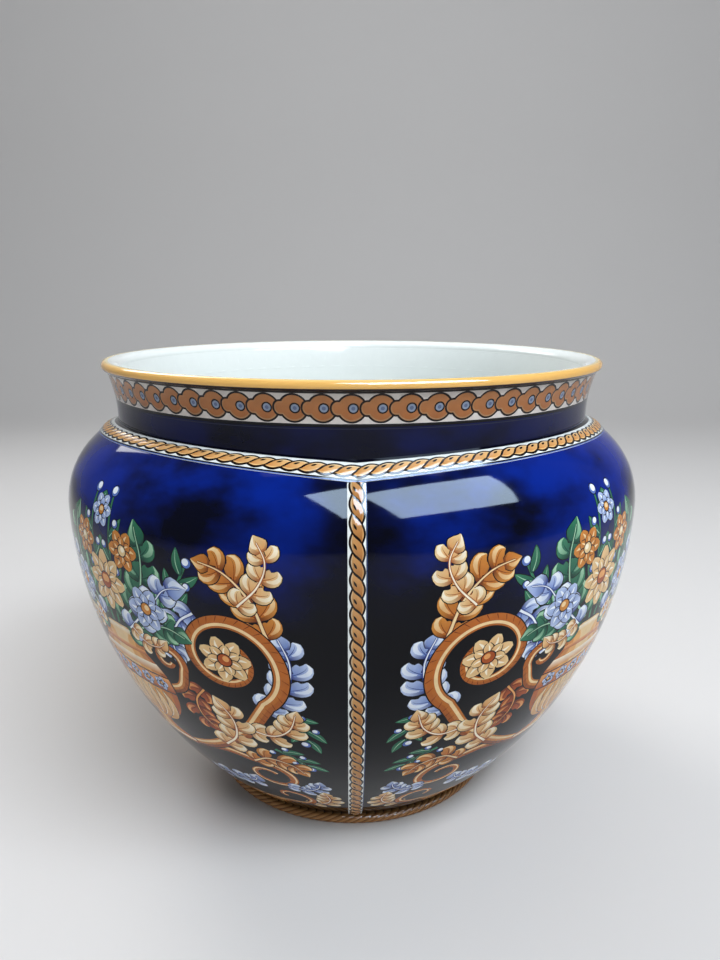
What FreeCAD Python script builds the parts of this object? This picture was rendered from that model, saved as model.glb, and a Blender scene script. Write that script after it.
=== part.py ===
import FreeCAD, Part
import math
import os

# A four-lobed glazed earthenware cachepot.
# Millimetres. The pot stands on z = 0 with its axis on z, and one of the four seams
# between the lobes faces -Y. Radii of the lobes are measured on the middle line of a
# lobe, from the axis of the pot.

# Heights, stacked from the table up
foot_height = 4.0          # rope-moulded ring under the body
flank_height = 144.0       # top of the foot ring to the widest line of the body
shoulder_height = 35.5     # widest line to where the shoulder runs in under the neck
neck_foot_height = 1.5     # straight foot of the neck, up to its narrowest line
neck_height = 7.0          # narrowest line of the neck to the collar
collar_height = 12.0       # flared collar with the chain border
rim_height = 4.0           # rolled lip

# Radii
neck_radius = 110.0        # outside of the neck at its narrowest
belly_bulge = 25.3         # widest line of a lobe, outside the neck radius
foot_radius = 72.3         # outside of the foot ring
foot_step = 2.6            # the foot ring stands out this far from the lower edge of the lobes
collar_flare = 3.6         # top of the collar, outside the neck radius
rim_roll_out = 2.0         # how far the lip stands out from the collar

# Walls
wall = 6.0                 # lobes, neck and collar
floor_thickness = 6.0
foot_width = 12.0          # radial width of the foot ring
rim_inner_drop = 3.6       # the lip falls this much from its crest to its inner edge

# Lobes and their curves
lobe_axis_offset = 18.0    # a lobe is round about an axis this far from the pot's, at its widest line and above
lobe_foot_offset = 1.0     # the same at the foot, where the four lobes have almost run together
flank_sections = 8         # level circles that shape the flank of a lobe, besides the one at the foot
flank_foot_angle = 43.0    # slope of the flank at the foot, degrees above level
flank_foot_pull = 38.0     # length of the curve's handle at the foot
flank_top_pull = 66.0      # length of the curve's handle at the widest line
shoulder_pull = 16.5       # length of the curve's handle above the widest line
shoulder_end_angle = 18.0  # slope of the shoulder where it runs under the neck, degrees
shoulder_end_pull = 17.5   # length of the curve's handle at the neck
shoulder_lap = 2.0         # how far the shoulder curve runs in under the neck

# Moulded rope bands, let into the wall
rope_depth = 2.5
seam_strip_width = 6.5     # upright rope in each seam
shoulder_rope_width = 6.8  # level rope on each shoulder, measured outward
shoulder_rope_gap = 1.5    # neck to the inner edge of the shoulder rope

# Places that follow from the sizes above
widest_z = foot_height + flank_height
shoulder_z = widest_z + shoulder_height
waist_z = shoulder_z + neck_foot_height
collar_z = waist_z + neck_height
rim_z = collar_z + collar_height
widest_radius = neck_radius + belly_bulge
lobe_foot_radius = foot_radius - foot_step
rope_inner_radius = neck_radius + shoulder_rope_gap
rope_outer_radius = rope_inner_radius + shoulder_rope_width
lobe_names = ["front_right", "back_right", "back_left", "front_left"]
seam_names = ["front", "right", "back", "left"]
lobe_count = len(lobe_names)
lobe_step = 360.0 / lobe_count
middle_angle = math.radians(-lobe_step / 2.0)  # middle of the first lobe; its seams lie on +X and -Y
reach = 2.0 * widest_radius                    # larger than the pot, for cutting boxes

Z_AXIS = FreeCAD.Vector(0, 0, 1)
ORIGIN = FreeCAD.Vector(0, 0, 0)


def on_middle(radius, z):
    """Point of the first lobe's middle plane, at a radius from the pot's axis."""
    return FreeCAD.Vector(radius * math.cos(middle_angle), radius * math.sin(middle_angle), z)


def in_section(radius, z):
    """Point of the XZ plane, for pieces turned about the pot's axis."""
    return FreeCAD.Vector(radius, 0, z)


def line(start, end):
    return Part.LineSegment(start, end).toShape()


def arc(start, middle, end):
    return Part.Arc(start, middle, end).toShape()


def bezier(points):
    curve = Part.BezierCurve()
    curve.setPoles(points)
    return curve


def turned(edges, axis_point):
    """Solid of revolution of a closed outline."""
    face = Part.Face(Part.Wire(Part.__sortEdges__(edges)))
    return face.revolve(axis_point, Z_AXIS, 360)


def flank_curve(inset):
    """Middle line of a lobe from the foot to the widest line, set in by a depth."""
    rise = math.radians(flank_foot_angle)
    foot_r = lobe_foot_radius - inset / math.sin(rise)
    side_r = widest_radius - inset
    return bezier([
        on_middle(foot_r, foot_height),
        on_middle(foot_r + flank_foot_pull * math.cos(rise), foot_height + flank_foot_pull * math.sin(rise)),
        on_middle(side_r, widest_z - flank_top_pull),
        on_middle(side_r, widest_z),
    ])


def axis_offset(z):
    """How far the axis of a lobe lies from the pot's axis, at a height of its flank."""
    below = (widest_z - z) / flank_height
    return lobe_axis_offset - (lobe_axis_offset - lobe_foot_offset) * below ** 2


def flank_solid(inset):
    """Flank of the first lobe as a full round, filled: a smooth skin over level circles."""
    curve = flank_curve(inset)
    circles = []
    for place in range(flank_sections + 1):
        point = curve.value(place / flank_sections)
        offset = axis_offset(point.z)
        centre = on_middle(offset, point.z)
        circle = Part.makeCircle(math.hypot(point.x, point.y) - offset, centre)
        # The seam of the skin is turned to the far side, away from the lobe.
        circle.rotate(centre, Z_AXIS, 180.0 + math.degrees(middle_angle))
        circles.append(Part.Wire(circle))
    return Part.makeLoft(circles, True)


def shoulder_solid(inset):
    """Shoulder of the first lobe as a full round, filled, from the widest line to under the neck."""
    side_r = widest_radius - inset
    fall = math.radians(shoulder_end_angle)
    end_r = neck_radius - shoulder_lap - inset * math.sin(fall)
    end_z = shoulder_z - inset * math.cos(fall)
    # The handles shorten with the inset, so that the wall stays even round the bend.
    up_pull = shoulder_pull - inset / 2.0
    end_pull = shoulder_end_pull - inset / 2.0
    side = on_middle(side_r, widest_z)
    end = on_middle(end_r, end_z)
    axis_low = on_middle(lobe_axis_offset, widest_z)
    axis_high = on_middle(lobe_axis_offset, end_z)
    curve = bezier([
        side,
        on_middle(side_r, widest_z + up_pull),
        on_middle(end_r + end_pull * math.cos(fall), end_z - end_pull * math.sin(fall)),
        end,
    ])
    edges = [curve.toShape(), line(end, axis_high), line(axis_high, axis_low), line(axis_low, side)]
    return turned(edges, axis_low)


def quarter_box():
    """The space of the first lobe, between its two seam planes."""
    return Part.makeBox(reach, reach, reach, FreeCAD.Vector(0, -reach, 0))


def lobe_filled(inset):
    """All that lies inside the first lobe's surface, set in by a depth, between its two seam planes."""
    whole = flank_solid(inset).fuse(shoulder_solid(inset))
    return whole.common(quarter_box()).removeSplitter()


def around(shape, step):
    """Copy of a piece of the first lobe, turned on by a number of lobes."""
    copy = shape.copy()
    copy.rotate(ORIGIN, Z_AXIS, step * lobe_step)
    return copy


def flare_radius():
    """Radius of the arc that the neck and collar follow, from its height and its flare."""
    height = neck_height + collar_height
    return (height ** 2 + collar_flare ** 2) / (2.0 * collar_flare)


def flared(z, inset):
    """Radius of the neck and collar at a height, set in by a depth."""
    bend = flare_radius()
    return neck_radius + bend - math.sqrt((bend + inset) ** 2 - (z - waist_z) ** 2)


def flare_arc(low_z, high_z, inset):
    middle_z = (low_z + high_z) / 2.0
    points = [in_section(flared(z, inset), z) for z in (low_z, middle_z, high_z)]
    return arc(*points)


def neck_plug():
    """Solid of the neck, filled to the axis, which the lobes run up to."""
    edges = [
        line(in_section(0, widest_z), in_section(neck_radius, widest_z)),
        line(in_section(neck_radius, widest_z), in_section(neck_radius, waist_z)),
        flare_arc(waist_z, collar_z, 0.0),
        line(in_section(flared(collar_z, 0.0), collar_z), in_section(0, collar_z)),
        line(in_section(0, collar_z), in_section(0, widest_z)),
    ]
    return turned(edges, ORIGIN)


def neck_bore():
    inner = neck_radius - wall
    edges = [
        line(in_section(0, widest_z), in_section(inner, widest_z)),
        line(in_section(inner, widest_z), in_section(inner, waist_z)),
        flare_arc(waist_z, collar_z, wall),
        line(in_section(flared(collar_z, wall), collar_z), in_section(0, collar_z)),
        line(in_section(0, collar_z), in_section(0, widest_z)),
    ]
    return turned(edges, ORIGIN)


def collar_band():
    edges = [
        flare_arc(collar_z, rim_z, 0.0),
        flare_arc(collar_z, rim_z, wall),
        line(in_section(flared(collar_z, wall), collar_z), in_section(flared(collar_z, 0.0), collar_z)),
        line(in_section(flared(rim_z, wall), rim_z), in_section(flared(rim_z, 0.0), rim_z)),
    ]
    return turned(edges, ORIGIN)


def rim_roll():
    """Rolled lip: a half round outside, and an arc that falls from the crest to the inner edge."""
    outer = flared(rim_z, 0.0)
    inner = flared(rim_z, wall)
    crest_z = rim_z + rim_height
    edge_z = crest_z - rim_inner_drop
    run = outer - inner
    bend = (run ** 2 + rim_inner_drop ** 2) / (2.0 * rim_inner_drop)
    half_run = run / 2.0
    half_z = crest_z - bend + math.sqrt(bend ** 2 - half_run ** 2)
    edges = [
        line(in_section(inner, rim_z), in_section(outer, rim_z)),
        arc(in_section(outer, rim_z), in_section(outer + rim_roll_out, rim_z + rim_height / 2.0),
            in_section(outer, crest_z)),
        arc(in_section(outer, crest_z), in_section(outer - half_run, half_z), in_section(inner, edge_z)),
        line(in_section(inner, edge_z), in_section(inner, rim_z)),
    ]
    return turned(edges, ORIGIN)


def foot_ring():
    round_radius = foot_height / 2.0
    inner = foot_radius - foot_width
    flat = foot_radius - round_radius
    edges = [
        line(in_section(inner, 0), in_section(flat, 0)),
        arc(in_section(flat, 0), in_section(foot_radius, round_radius), in_section(flat, foot_height)),
        line(in_section(flat, foot_height), in_section(inner, foot_height)),
        line(in_section(inner, foot_height), in_section(inner, 0)),
    ]
    return turned(edges, ORIGIN)


def floor_disc(hollow):
    """Bottom of the pot: it fills the foot of the hollow from wall to wall."""
    slab = Part.makeBox(reach, reach, floor_thickness, FreeCAD.Vector(0, -reach, foot_height))
    quarter = hollow.common(slab)
    quarters = [around(quarter, step) for step in range(1, lobe_count)]
    return quarter.fuse(quarters).removeSplitter()


def shoulder_rope(skin):
    """Level rope band of the first lobe, let into its shoulder."""
    height = waist_z - widest_z
    base = FreeCAD.Vector(0, 0, widest_z)
    tube = Part.makeCylinder(rope_outer_radius, height, base).cut(
        Part.makeCylinder(rope_inner_radius, height, base))
    return skin.common(tube)


def seam_strip(skin):
    """Upright rope band in the seam on -Y, half of it in each of the two lobes beside it."""
    slab = Part.makeBox(seam_strip_width, reach, reach, FreeCAD.Vector(-seam_strip_width / 2.0, -reach, 0))
    above = Part.makeCylinder(rope_outer_radius, reach, FreeCAD.Vector(0, 0, widest_z))
    right_half = skin.common(slab).cut(above)
    left_half = around(skin, lobe_count - 1).common(slab).cut(above)
    return right_half.fuse(left_half).removeSplitter()


def save(shape, name):
    """Write one piece, and print its volume and the size of its box."""
    assert shape.isValid() and len(shape.Solids) == 1, name
    solid = shape.Solids[0]
    solid.exportStep("parts/" + name + ".step")
    box = solid.optimalBoundingBox()
    print(name, round(solid.Volume), round(box.XLength, 2), round(box.YLength, 2), round(box.ZLength, 2))


os.makedirs("parts", exist_ok=True)

body = lobe_filled(0.0)
hollow = lobe_filled(wall)
skin = body.cut(lobe_filled(rope_depth))
plug = neck_plug()
rope = shoulder_rope(skin)
strip = seam_strip(skin)
lobe = body.cut([hollow, plug, rope, strip, around(strip, 1)])

neck = plug.cut(neck_bore())
neck = neck.cut([around(hollow, step) for step in range(lobe_count)])

for step in range(lobe_count):
    save(around(lobe, step), "lobe_wall_" + lobe_names[step])
    save(around(rope, step), "shoulder_rope_" + lobe_names[step])
    save(around(strip, step), "seam_strip_" + seam_names[step])

save(foot_ring(), "foot_ring")
save(floor_disc(hollow), "floor_disc")
save(neck, "neck_ring")
save(collar_band(), "collar_band")
save(rim_roll(), "rim_roll")
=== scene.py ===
import bpy
import math
import numpy as np
from mathutils import Euler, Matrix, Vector, geometry


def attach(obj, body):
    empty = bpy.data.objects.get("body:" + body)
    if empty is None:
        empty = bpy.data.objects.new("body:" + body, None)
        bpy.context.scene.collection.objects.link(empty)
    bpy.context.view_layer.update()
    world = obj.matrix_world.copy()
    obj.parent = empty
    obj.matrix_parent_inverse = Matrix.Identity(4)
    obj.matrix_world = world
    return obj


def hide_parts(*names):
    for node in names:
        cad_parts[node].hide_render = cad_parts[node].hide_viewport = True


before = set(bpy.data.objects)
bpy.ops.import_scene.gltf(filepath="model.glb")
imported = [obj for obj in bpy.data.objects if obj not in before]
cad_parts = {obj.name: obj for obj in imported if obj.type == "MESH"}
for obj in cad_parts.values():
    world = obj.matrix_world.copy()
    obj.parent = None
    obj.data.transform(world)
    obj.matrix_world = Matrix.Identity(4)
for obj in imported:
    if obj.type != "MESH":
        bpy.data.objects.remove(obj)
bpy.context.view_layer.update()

# Looks of a four-lobed glazed cachepot. Shapes are worked out in millimetres and made in metres.
MM = 0.001

# Sizes of the pot, as in the part's source
foot_height = 4.0
widest_z = 148.0
shoulder_z = 183.5
waist_z = 185.0
collar_z = 192.0
rim_z = 204.0
crest_z = 208.0
neck_radius = 110.0
widest_radius = 135.3
foot_radius = 72.3
foot_width = 12.0
lobe_foot_radius = 69.7
collar_flare = 3.6
rim_roll_out = 2.0
wall = 6.0
lobe_axis_offset = 18.0
lobe_foot_offset = 1.0
flank_foot_angle = 43.0
flank_foot_pull = 38.0
flank_top_pull = 66.0
shoulder_pull = 16.5
shoulder_end_angle = 18.0
shoulder_end_pull = 17.5
shoulder_lap = 2.0
seam_strip_width = 6.5
rope_inner_radius = 111.5
rope_outer_radius = 118.3
rope_depth = 2.5

# Lobes with the direction of their middles, and seams with their turn from the front one, in degrees
lobe_names = ["front_right", "back_right", "back_left", "front_left"]
lobe_angles = [-45.0, 45.0, 135.0, 225.0]
seam_names = ["front", "right", "back", "left"]
seam_turns = [0.0, 90.0, 180.0, 270.0]

# Counts and sizes of the painted and moulded detail
shoulder_strands = 30      # rope strands on one shoulder
seam_strands = 30          # rope strands on one seam
foot_strands = 112         # rope strands round the foot ring
strand_steps = 12          # points along one of those strands
strand_lean = 0.85         # slant of those strands
crease_depth = 0.42        # depth of the creases between them
chain_links = 70           # links round the collar
band_proud = 0.25          # a rope band stands this far out of the wall at its edges
band_swell = 0.45          # and this much more along its middle
strand_swell = 0.3         # each strand of a rope band rises this far
ink_line = 0.5             # dark outline round a painted shape
foliage_lift = 3.5         # the low scrolls of a lobe stand this far up from the foot
ornament_lift = 13.5       # and the vase and larger scrolls so far above them
grid_step = 3.5            # spacing of the points that carry the curve of a lobe
rope_grid_step = 0.8       # spacing of those that carry the relief of a rope band
chain_grid_step = 2.0      # and of those that carry the curve of the collar

# Paints, as seen on the glaze, 0 to 255
INK = (8, 7, 14)
BROWN_INK = (26, 14, 8)
WHITE = (236, 240, 236)
OCHRE = {"body": (208, 136, 60), "far": (182, 102, 42), "light": (244, 214, 160), "shade": (112, 50, 24)}
CREAM = {"body": (236, 204, 150), "far": (214, 148, 82), "light": (252, 240, 214), "shade": (160, 84, 38)}
RUSSET = {"body": (172, 82, 38), "far": (128, 54, 26), "light": (232, 164, 96), "shade": (84, 34, 18)}
BLUE = {"body": (188, 204, 234), "far": (92, 120, 188), "light": (240, 246, 252), "shade": (38, 56, 128)}
GREEN = {"body": (58, 124, 92), "far": (34, 88, 72), "light": (164, 208, 172), "shade": (16, 52, 46)}
ROPE = {"body": (206, 138, 70), "far": (236, 192, 130), "light": (244, 218, 174)}
# Darker rope paint for the seams: painted shade in the seam valleys
SEAM_ROPE_SHADED = {"body": (172, 108, 50), "far": (202, 154, 98), "light": (214, 186, 146)}
LINK = {"body": (166, 102, 56), "far": (184, 124, 76), "light": (166, 126, 88)}
DOT = {"body": (138, 150, 170), "far": (98, 110, 140)}
# Near-black navy: painted shade over the cobalt on the neck and on the lobes next to it
NAVY_SHADE = (5, 6, 20)
# Thin grey line under the collar: a painted highlight on the neck
NECK_HIGHLIGHT = (38, 42, 62)
# Off-white of the collar's ground, made greyer as painted shade under the lip
CHAIN_GROUND_SHADED = (216, 209, 202)
# Paler ochre and cream at the top of the lip: painted highlight
LIP_HIGHLIGHT = (244, 202, 120)
LIP_CREST_HIGHLIGHT = (250, 232, 178)
VASE_LIGHT = (232, 172, 92)
VASE_MIDDLE = (236, 178, 100)
# Rope paint of the foot ring, darker than the shoulder rope: painted shade under the body
FOOT_ROPE_SHADED = {"body": (150, 98, 52), "far": (206, 154, 98)}
FOOT_UNDER = (226, 214, 196)

# Grounds, each with the two tones that it drifts between
# The cobalt ground runs from a near-black tone of painted shade to the bright cobalt
COBALT_AND_SHADE = ((2, 3, 9), (1, 34, 132))
ROPE_GROUND = ((232, 234, 228), (240, 240, 234))
# Off-white of the collar, made greyer as painted shade under the lip
COLLAR_GROUND_SHADED = ((222, 216, 210), (226, 222, 216))
LIP_GROUND = ((230, 176, 92), (241, 190, 108))
INNER_GROUND = ((240, 247, 245), (244, 250, 248))
PAPER = ((210.1, 207.2, 204.3), (214, 211, 208))


# Brush strokes on a flat sheet

def spline(points, step=1.1):
    """Smooth line through a few points, sampled about every step."""
    knots = np.array(points, float)
    ends = np.vstack([2 * knots[0] - knots[1], knots, 2 * knots[-1] - knots[-2]])
    runs = []
    for i in range(len(knots) - 1):
        a, b, c, d = ends[i:i + 4]
        count = max(3, int(np.linalg.norm(c - b) / step))
        t = np.linspace(0.0, 1.0, count, endpoint=False)[:, None]
        runs.append(0.5 * (2 * b + (c - a) * t + (2 * a - 5 * b + 4 * c - d) * t ** 2
                           + (3 * b - a - 3 * c + d) * t ** 3))
    runs.append(knots[-1:])
    return np.vstack(runs)


def spiral(centre, radii, angles, step=1.1):
    """Spiral line about a centre, between two radii and two angles in degrees."""
    turn = math.radians(angles[1] - angles[0])
    length = abs(turn) * (radii[0] + radii[1]) / 2.0
    t = np.linspace(0.0, 1.0, max(8, int(length / step)))
    radius = radii[0] * (radii[1] / radii[0]) ** t
    angle = math.radians(angles[0]) + turn * t
    return np.array(centre) + np.stack([radius * np.cos(angle), radius * np.sin(angle)], axis=1)


def curled(points, centre, radii, angles):
    """Smooth line through a few points that runs on into a spiral."""
    return np.vstack([spline(points)[:-1], spiral(centre, radii, angles)])


def circle(centre, radius, count=16):
    t = np.linspace(0.0, 2.0 * math.pi, count, endpoint=False)
    return np.array(centre) + radius * np.stack([np.cos(t), np.sin(t)], axis=1)


def box_outline(left, low, right, high):
    return np.array([(left, low), (right, low), (right, high), (left, high)], float)


def directions(path):
    """Unit vectors along a path, one at each point."""
    run = np.gradient(path, axis=0)
    return run / np.linalg.norm(run, axis=1)[:, None]


def lengths(path):
    """Length along a path to each of its points."""
    steps = np.linalg.norm(np.diff(path, axis=0), axis=1)
    return np.concatenate([[0.0], np.cumsum(steps)])


def along(path):
    """Unit normals of a path, and the share of its length at each point."""
    run = directions(path)
    length = lengths(path)
    return np.stack([-run[:, 1], run[:, 0]], axis=1), length / length[-1]


def stroke(path, widths, grow=0.0, shift=0.0):
    """Outline of a brush stroke: widths at even shares of the path, moved sideways by a share of them."""
    normal, share = along(path)
    width = np.interp(share, np.linspace(0.0, 1.0, len(widths)), widths)
    middle = path + normal * (shift * width)[:, None]
    half = normal * (width / 2.0 + grow)[:, None]
    return np.vstack([middle + half, (middle - half)[::-1]])


def blade_edge(path, width, grow=0.0):
    """Outline of a plain pointed leaf about its midrib."""
    normal, share = along(path)
    half = normal * (width / 2.0 * np.sin(math.pi * np.clip(share, 0.0, 1.0) ** 0.8) ** 0.8 + grow)[:, None]
    return np.vstack([path + half, (path - half)[::-1]])


def grown(half, by):
    """Right half of an outline, moved outward."""
    half = np.array(half, float)
    run = directions(half)
    out = half + by * np.stack([run[:, 1], -run[:, 0]], axis=1)
    out[0, 0] = 0.0
    out[-1, 0] = 0.0
    return out


class Painting:
    """Flat shapes in the order they are painted: a later one covers an earlier one."""

    def __init__(self):
        self.shapes = []

    def fill(self, outline, tone, far=None, start=(0, 0), end=(0, 1)):
        """One shape, of one tone, or running from a tone at one point to another at a second point."""
        ends = np.array([start, end], float)
        self.shapes.append((np.array(outline), tone, far or tone, *ends))

    def scroll(self, path, widths, tones):
        """Stem with a dark outline, a lit side, and a shaded side with fine hatching."""
        normal, share = along(path)
        width = np.interp(share, np.linspace(0.0, 1.0, len(widths)), widths)[:, None]
        self.fill(stroke(path, widths, ink_line), INK)
        self.fill(stroke(path, widths), tones["body"], tones["far"], path[0], path[-1])
        shade = stroke(path, [w * 0.34 for w in widths], 0.0, -0.96)
        self.fill(shade, tones["shade"], tones["far"], path[0], path[-1])
        self.fill(stroke(path, [w * 0.24 for w in widths], 0.0, 0.95), tones["light"])
        for i in range(3, len(path) - 4, 3):
            across = normal[i] * width[i]
            nick = np.linspace(path[i] - across * 0.46, path[i + 1] + across * 0.02, 4)
            self.fill(stroke(nick, [0.36, 0.3, 0.08]), tones["shade"])

    def leaf(self, points, width, lobes, tones):
        """Acanthus leaf: pairs of curling leaflets from root to tip, with a midrib over them."""
        path = spline(points, 0.9)
        normal, share = along(path)
        ahead = np.stack([normal[:, 1], -normal[:, 0]], axis=1)
        size = 1.05 * lengths(path)[-1] / (lobes + 1)
        bends = ((0.0, 0.0), (0.5, 0.35), (0.92, 0.85), (0.88, 1.3))
        for lobe in range(lobes):
            root = int(np.searchsorted(share, (lobe + 0.1) / (lobes + 0.6)))
            reach = width / 1.8 * (0.5 + 0.5 * math.sin(math.pi * (0.12 + 0.8 * (lobe + 0.5) / lobes)))
            for side in (-1.0, 1.0):
                out = normal[root] * side * reach
                on = ahead[root] * reach
                curl = spline([path[root] + a * out + b * on for a, b in bends], 1.0)
                self.leaflet(curl, [size * w for w in (0.4, 0.75, 0.98, 1.0, 0.7, 0.06)], side, tones)
        tip = path[int(np.searchsorted(share, (lobes - 0.5) / (lobes + 0.6))):]
        self.leaflet(tip, [size * w for w in (0.5, 0.9, 1.0, 0.75, 0.4, 0.05)], 1.0, tones)
        self.fill(stroke(path[:-3], [width * 0.13, width * 0.04], 0.2), tones["shade"])
        self.fill(stroke(path[:-3], [width * 0.1, width * 0.03]), tones["light"])

    def leaflet(self, path, widths, side, tones):
        """One lobe of a leaf: outlined, darker at its root, with a light edge and a fine vein."""
        self.fill(stroke(path, widths, ink_line * 0.8), INK)
        self.fill(stroke(path, widths), tones["shade"], tones["body"], path[0], path[len(path) // 2])
        inner = stroke(path[1:], [0.72 * w for w in widths], 0.0, -0.14 * side)
        self.fill(inner, tones["far"], tones["body"], path[0], path[-1])
        edge = stroke(path[2:], [0.24 * w for w in widths], 0.0, side)
        self.fill(edge, tones["body"], tones["light"], path[0], path[-2])
        self.fill(stroke(path[:-2], [0.3, 0.28, 0.08]), tones["shade"])

    def blade(self, points, width, tones):
        """Small plain leaf with a light midrib."""
        path = spline(points, 0.8)
        self.fill(blade_edge(path, width, ink_line * 0.7), INK)
        self.fill(blade_edge(path, width), tones["far"], tones["body"], path[0], path[-1])
        self.fill(stroke(path[1:-1], [0.34, 0.34, 0.1], 0.0, 0.9), tones["light"])

    def blossom(self, centre, radius, petals, tones, heart):
        """Open flower: two rounds of petals and a dotted heart."""
        for reach, offset in ((1.0, 0.0), (0.66, 0.5)):
            for petal in range(petals):
                angle = 2.0 * math.pi * (petal + offset) / petals
                out = np.array([math.cos(angle), math.sin(angle)])
                path = np.array(centre) + out * np.linspace(0.12, 1.0, 7)[:, None] * radius * reach
                width = 1.36 * math.pi * radius * reach / petals
                shape = [width * w for w in (0.3, 0.62, 0.9, 1.0, 0.8, 0.3)]
                self.fill(stroke(path, shape, ink_line * 0.8), INK)
                self.fill(stroke(path, shape), tones["far"], tones["body"], path[0], path[-1])
                gleam = [width * w for w in (0.12, 0.2, 0.05)]
                self.fill(stroke(path[2:6], gleam, 0.0, 0.6), tones["light"])
        self.fill(circle(centre, radius * 0.26 + ink_line), INK)
        self.fill(circle(centre, radius * 0.26), heart["body"])
        self.fill(circle(np.array(centre) + radius * 0.06, radius * 0.13), heart["light"])

    def berry(self, centre, radius):
        self.fill(circle(centre, radius + 0.4, 12), INK)
        self.fill(circle(centre, radius, 12), BLUE["far"])
        gleam = np.array(centre) + (-0.18 * radius, 0.2 * radius)
        self.fill(circle(gleam, radius * 0.72, 12), BLUE["light"])

    def sprig(self, points, size, tones):
        """Thin stem with small leaves and white berries."""
        stem = spline(points)
        self.fill(stroke(stem, [1.5, 0.9], 0.3), INK)
        self.fill(stroke(stem, [1.5, 0.9]), tones["body"])
        normal = along(stem)[0]
        for place in range(1, 2 * len(points)):
            i = int((len(stem) - 1) * place / (2 * len(points)))
            side = 1.0 if place % 2 else -1.0
            ahead = np.array([normal[i][1], -normal[i][0]])
            out = (normal[i] * side * 0.8 + ahead * 0.6) * size
            middle = stem[i] + out * 1.5 + ahead * 0.3 * size
            tip = stem[i] + out * 2.6 + ahead * 1.2 * size
            self.blade([stem[i], middle, tip], size * 1.3, tones)
            self.berry(stem[i] - out * 1.5, size * 0.5)
        self.berry(stem[-1], size * 0.62)

    def twin(self, half, tone, far=None):
        """Shape that is alike on both sides of the middle line, from its right half."""
        right = np.array(half, float)
        left = right[::-1] * (-1.0, 1.0)
        low = right[:, 1].min()
        high = right[:, 1].max()
        self.fill(np.vstack([right, left]), tone, far, (0, low), (0, high))

    def lift(self, by):
        """Move all shapes so far up the sheet."""
        up = np.array([0.0, by])
        self.shapes = [(outline + up, tone, far, start + up, end + up)
                       for outline, tone, far, start, end in self.shapes]


# Ornament of a lobe: x runs across from its middle line, y up its curve from the foot

def side_scroll(art):
    """Leafy spiral scroll towards the seam, with a smaller one below it."""
    art.sprig([(70, 82), (75, 75), (72, 65)], 2.8, GREEN)
    art.sprig([(36, 116), (38, 130), (45, 144)], 3.0, GREEN)
    art.sprig([(58, 60), (64, 54), (67, 46)], 2.6, GREEN)
    main = curled([(6, 46), (20, 50), (34, 57), (50, 69), (64, 86)], (54, 107), (23.0, 8.0), (-64, 400))
    low = curled([(20, 50), (34, 52), (46, 48)], (45, 36), (12.0, 4.6), (85, -330))
    art.leaf([(63, 84), (73, 93), (78, 107), (75, 121)], 11, 5, BLUE)
    art.leaf([(72, 118), (68, 132), (59, 142), (47, 146)], 12, 5, OCHRE)
    art.leaf([(45, 125), (38, 120), (33, 110), (35, 99)], 10, 4, BLUE)
    art.leaf([(40, 90), (34, 83), (33, 74), (38, 65)], 9, 4, RUSSET)
    art.scroll(low, [4.6, 4.0, 3.0, 2.0], OCHRE)
    art.leaf([(44, 48), (52, 52), (60, 48), (63, 39)], 9, 4, OCHRE)
    art.leaf([(48, 27), (55, 24), (61, 27), (65, 34)], 7, 4, BLUE)
    art.scroll(main, [4.8, 5.4, 5.8, 5.2, 4.2, 3.0], OCHRE)
    art.leaf([(53, 71), (61, 69), (69, 74), (75, 85)], 9, 4, CREAM)
    art.leaf([(36, 57), (44, 65), (47, 76), (43, 88)], 10, 4, CREAM)
    art.blossom((54, 107), 10.0, 7, CREAM, RUSSET)
    art.leaf([(63, 130), (71, 138), (74, 147), (69, 156)], 8, 4, CREAM)


def foot_foliage(art):
    """Low scrolls and leaves round the foot."""
    curl = curled([(10, 22), (26, 17), (40, 17)], (43, 27), (10.4, 3.4), (-104, 210))
    art.leaf([(8, 32), (19, 37), (31, 38), (37, 46)], 8, 4, BLUE)
    art.leaf([(46, 17), (53, 19), (59, 26), (61, 36)], 7, 4, CREAM)
    art.scroll(curl, [3.6, 3.4, 2.8, 1.8], OCHRE)
    art.leaf([(4, 24), (14, 16), (24, 13), (34, 14)], 8, 4, OCHRE)
    drop = spline([(0, 17), (4, 21), (6, 29), (3.6, 38), (0, 45)])
    art.twin(grown(drop, ink_line), INK)
    art.twin(drop, RUSSET["far"], RUSSET["light"])


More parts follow.
